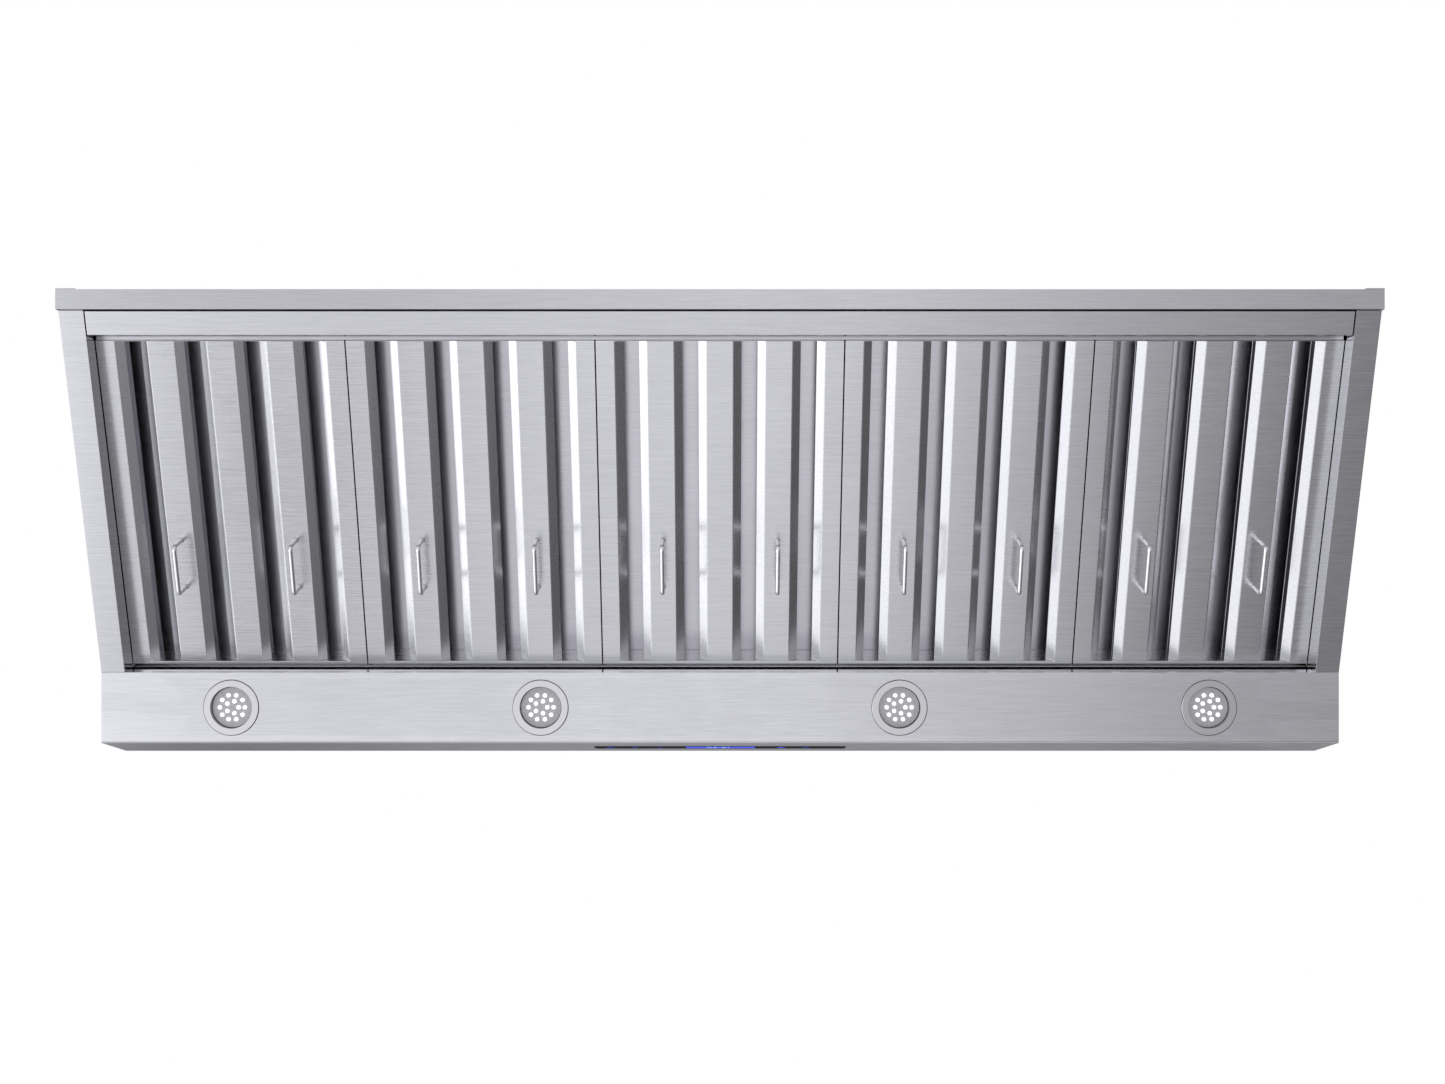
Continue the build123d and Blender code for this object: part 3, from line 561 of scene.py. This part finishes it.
for number in lamp_numbers:
    coat(trim_steel, f"lamp_{number}_bezel")
    coat(plate_grey, f"lamp_{number}_module")
    low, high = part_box(f"lamp_{number}_bezel")
    for ring_name, ring_radius, ring_level in gap_shade_gaskets:
        bpy.ops.object.select_all(action="DESELECT")
        bpy.ops.mesh.primitive_torus_add(
            major_radius=ring_radius,
            minor_radius=gasket_half,
            major_segments=96,
            minor_segments=10,
            location=((low.x + high.x) / 2, (low.y + high.y) / 2, ring_level),
        )
        ring = bpy.context.active_object
        ring.name = f"lamp_{number}_{ring_name}"
        bpy.ops.object.mode_set(mode="EDIT")
        bpy.ops.transform.resize(value=(1, 1, gasket_squeeze))
        bpy.ops.object.mode_set(mode="OBJECT")
        bpy.ops.object.transform_apply(location=True, rotation=True, scale=True)
        bpy.ops.object.shade_smooth()
        ring.data.materials.append(gap_shade_rubber)
        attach(ring, "canopy")


# Touch control: a strip of black toughened glass, bonded flush in the leaning front
# face. A blue display and five small symbols shine through it from the board behind.
touch_glass, glass_wiring, glass_place = start_finish("touch_glass")
glass_smear = clouds(glass_wiring, glass_place, 0.03, 4.0)
finish_surface(
    glass_wiring,
    Base_Color=glass_wiring.tint(glass_smear, (0.004, 0.004, 0.005, 1), (0.012, 0.012, 0.014, 1)),
    Roughness=0.05 + glass_smear * 0.10,
    IOR=1.015,
)
coat(touch_glass, "control_glass")


def glow_print(name, dim, bright, strength):
    """Light-emitting print behind the glass, slightly uneven as diffused light is."""
    material, wiring, place = start_finish(name)
    glow = clouds(wiring, place, 0.02, 2.0)
    finish_surface(
        wiring,
        Base_Color=wiring.tint(glow, dim, bright),
        Roughness=0.2 + glow * 0.1,
        Emission_Color=wiring.tint(glow, dim, bright),
        Emission_Strength=strength,
    )
    return material


window_blue = glow_print("window_blue", (0.002, 0.010, 0.42, 1), (0.006, 0.030, 0.85, 1), 1.0)
symbol_blue = glow_print("symbol_blue", (0.01, 0.03, 0.55, 1), (0.02, 0.06, 0.80, 1), 1.0)
digit_blue = glow_print("digit_blue", (0.25, 0.45, 1.0, 1), (0.40, 0.62, 1.0, 1), 1.2)
glass_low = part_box("control_glass")[0]
fascia_lean = math.atan2(0.0205, 0.083)
glass_half = 0.013
glass_normal = Vector((0, -math.cos(fascia_lean), -math.sin(fascia_lean)))
glass_up = Vector((0, -math.sin(fascia_lean), math.cos(fascia_lean)))
glass_middle = Vector((0, glass_low.y - glass_half * glass_up.y, glass_low.z + glass_half * glass_up.z))
print_lift = 0.00008
print_thickness = 0.0001
hoop_flatness = 0.2


def place_print(item, x, y, turn, layer):
    """Lays a bar or ring on the glass, x and y from its middle."""
    lift = print_lift + layer * print_thickness
    item.rotation_euler = (math.pi / 2 + fascia_lean, 0, 0)
    item.rotation_euler.rotate_axis("Z", turn)
    item.location = glass_middle + Vector((x, 0, 0)) + glass_up * y + glass_normal * lift


def stick(x, y, length, breadth, turn=0.0, layer=0):
    """A flat bar with rounded edges on the glass."""
    bpy.ops.mesh.primitive_cube_add(size=1)
    bar = bpy.context.active_object
    bar.scale = (length, breadth, print_thickness)
    bpy.ops.object.transform_apply(location=False, rotation=False, scale=True)
    bpy.ops.object.mode_set(mode="EDIT")
    bpy.ops.mesh.select_all(action="SELECT")
    rounding = 0.45 * min(length, breadth)
    bpy.ops.mesh.bevel(offset=rounding, segments=3, affect="EDGES", clamp_overlap=True)
    bpy.ops.object.mode_set(mode="OBJECT")
    place_print(bar, x, y, turn, layer)
    return bar


def hoop(x, y, radius, line, layer=0):
    """A thin ring on the glass."""
    bpy.ops.mesh.primitive_torus_add(
        major_radius=radius,
        minor_radius=line / 2,
        major_segments=40,
        minor_segments=6,
    )
    ring = bpy.context.active_object
    bpy.ops.object.mode_set(mode="EDIT")
    bpy.ops.transform.resize(value=(1, 1, hoop_flatness))
    bpy.ops.object.mode_set(mode="OBJECT")
    place_print(ring, x, y, 0.0, layer)
    return ring


def keep_print(name, items, material):
    """Joins the bars and rings of one symbol into a piece on the canopy."""
    bpy.ops.object.select_all(action="DESELECT")
    for item in items:
        item.select_set(True)
    bpy.context.view_layer.objects.active = items[0]
    bpy.ops.object.join()
    piece = bpy.context.active_object
    piece.name = name
    bpy.ops.object.transform_apply(location=True, rotation=True, scale=True)
    piece.data.materials.append(material)
    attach(piece, "canopy")


line = 0.0007
quarter = math.pi / 2
keep_print("display_window", [stick(-0.0005, 0, 0.087, 0.0135)], window_blue)
segments = {
    "top": (0, 1, 0),
    "middle": (0, 0, 0),
    "bottom": (0, -1, 0),
    "upper_left": (-1, 0.5, quarter),
    "upper_right": (1, 0.5, quarter),
    "lower_left": (-1, -0.5, quarter),
    "lower_right": (1, -0.5, quarter),
}
shown = [
    (-0.0125, ("upper_right", "lower_right")),
    (-0.0045, ("top", "upper_right", "middle", "lower_left", "bottom")),
    (0.0055, ("top", "upper_right", "middle", "lower_right", "bottom")),
    (0.0135, ("top", "upper_left", "upper_right", "lower_left", "lower_right", "bottom")),
]
digit_half_height = 0.0042
digit_half_width = 0.0022
segment_length = 0.0036
colon_x = 0.0005
colon_half = 0.0015
digits = []
for digit_x, lit in shown:
    for name in lit:
        right, up, turn = segments[name]
        segment_x = digit_x + right * digit_half_width
        digits.append(stick(segment_x, up * digit_half_height, segment_length, line, turn, 1))
for dot_y in (colon_half, -colon_half):
    digits.append(stick(colon_x, dot_y, line, line, 0, 1))
keep_print("display_digits", digits, digit_blue)

power_x = -0.108
power_radius = 0.0038
power_ring = hoop(power_x, 0, power_radius, line)
keep_print("symbol_power", [power_ring, stick(power_x, power_radius, 0.0038, line, quarter)], symbol_blue)
fan_x = -0.077
blade_place = 0.002
fan_blades = []
for angle in (0.5, 2.6, 4.7):
    blade_x = fan_x + blade_place * math.cos(angle)
    fan_blades.append(stick(blade_x, blade_place * math.sin(angle), 0.0034, 0.0015, angle))
keep_print("symbol_fan", [hoop(fan_x, 0, 0.0045, line)] + fan_blades, symbol_blue)
slower_x = 0.076
faster_x = 0.107
sign_length = 0.0070
keep_print("symbol_slower", [stick(slower_x, 0, sign_length, line)], symbol_blue)
plus = [stick(faster_x, 0, sign_length, line), stick(faster_x, 0, sign_length, line, quarter)]
keep_print("symbol_faster", plus, symbol_blue)
lamp_x = 0.138
ray_place = 0.0042
lamp_rays = []
for angle in (0, 0.785, 1.571, 2.356, 3.142):
    ray_x = lamp_x + ray_place * math.cos(angle)
    lamp_rays.append(stick(ray_x, ray_place * math.sin(angle), 0.0016, line, angle))
keep_print("symbol_lamp", [hoop(lamp_x, 0, 0.0024, line)] + lamp_rays, symbol_blue)


# Inner sheet metal: galvanised steel, whose zinc freezes in flat crystals of
# different brightness.
galvanised, zinc_wiring, zinc_place = start_finish("galvanised")
spangle = zinc_wiring.make("ShaderNodeTexVoronoi", inputs={"Vector": zinc_place, "Scale": 1 / 0.011})
crystal = zinc_wiring.make("ShaderNodeSeparateColor", inputs={0: spangle.port("Color")})
zinc_cloud = clouds(zinc_wiring, zinc_place, 0.09)
zinc_shade = crystal * 0.7 + zinc_cloud * 0.3
finish_surface(
    zinc_wiring,
    Base_Color=zinc_wiring.tint(zinc_shade, (0.40, 0.42, 0.44, 1), (0.62, 0.64, 0.66, 1)),
    Metallic=0.9,
    Roughness=0.32 + crystal * 0.18 + (zinc_cloud - 0.5) * 0.1,
)
coat(galvanised, "outlet_plenum", "duct_collar", "ceiling_bracket")
coat(galvanised, "support_posts", "control_cover", "junction_box")
for word in ("left", "right"):
    coat(galvanised, f"{word}_damper_flap", f"{word}_blower_housing", f"{word}_blower_wheel")


# Fixings: the frame's bolts and the damper flaps' pin are plain steel, turned and
# zinc-plated, with the faint yellow cast that the plating has.
plated, plated_wiring, plated_place = start_finish("plated")
plated_cloud = clouds(plated_wiring, plated_place, 0.004, 4.0)
finish_surface(
    plated_wiring,
    Base_Color=plated_wiring.tint(plated_cloud, (0.52, 0.51, 0.46, 1), (0.70, 0.70, 0.68, 1)),
    Metallic=1.0,
    Roughness=0.22 + plated_cloud * 0.2,
)
coat(plated, "frame_bolts", "damper_pin")


# Motors: pressed steel shells in black baked enamel with a light orange-peel, dusty
# from the air that is drawn past them.
enamel, enamel_wiring, enamel_place = start_finish("enamel")
enamel_peel = clouds(enamel_wiring, enamel_place, 0.0025, 2.0)
enamel_dust = clouds(enamel_wiring, enamel_place, 0.05, 4.0)
enamel_shade = fade(enamel_dust, 0.4, 0.75, 0.0, 1.0)
finish_surface(
    enamel_wiring,
    Base_Color=enamel_wiring.tint(enamel_shade, (0.012, 0.012, 0.013, 1), (0.05, 0.048, 0.045, 1)),
    Roughness=0.32 + enamel_dust * 0.25,
    Normal=enamel_wiring.bump(enamel_peel, 0.3, 0.0002),
)
coat(enamel, "left_blower_motor", "right_blower_motor")


# Wiring parts: a black nylon gland in the junction box, a white plastic lamp driver,
# and the green circuit board behind the touch control.
nylon, nylon_wiring, nylon_place = start_finish("nylon")
nylon_grit = clouds(nylon_wiring, nylon_place, 0.0008, 2.0)
finish_surface(
    nylon_wiring,
    Base_Color=nylon_wiring.tint(nylon_grit, (0.012, 0.012, 0.012, 1), (0.03, 0.03, 0.03, 1)),
    Roughness=0.45 + nylon_grit * 0.15,
    Normal=nylon_wiring.bump(nylon_grit, 0.3, 0.0001),
)
coat(nylon, "cable_gland")
driver_plastic, driver_wiring, driver_place = start_finish("driver_plastic")
driver_cloud = clouds(driver_wiring, driver_place, 0.02, 4.0)
driver_grit = clouds(driver_wiring, driver_place, 0.0008, 2.0)
finish_surface(
    driver_wiring,
    Base_Color=driver_wiring.tint(driver_cloud, (0.74, 0.74, 0.72, 1), (0.84, 0.84, 0.82, 1)),
    Roughness=0.4 + driver_cloud * 0.15,
    Normal=driver_wiring.bump(driver_grit, 0.25, 0.0001),
)
coat(driver_plastic, "led_driver")
solder_mask, mask_wiring, mask_place = start_finish("solder_mask")
mask_cloud = clouds(mask_wiring, mask_place, 0.01, 4.0)
finish_surface(
    mask_wiring,
    Base_Color=mask_wiring.tint(mask_cloud, (0.006, 0.07, 0.03, 1), (0.012, 0.11, 0.045, 1)),
    Roughness=0.28 + mask_cloud * 0.2,
)
coat(solder_mask, "control_board")


# Chimney covers: folded tubes of the same brushed steel, with the grain running down
# them. The upper one slides inside the lower.
chimney_sheet = 0.001
chimney_bend = 0.0012
chimney_steel = brushed_steel("chimney_steel", (None, None, 0.05))
fold("lower_chimney", "canopy", chimney_steel, chimney_sheet, chimney_bend)
fold("upper_chimney", "upper_cover", chimney_steel, chimney_sheet, chimney_bend)
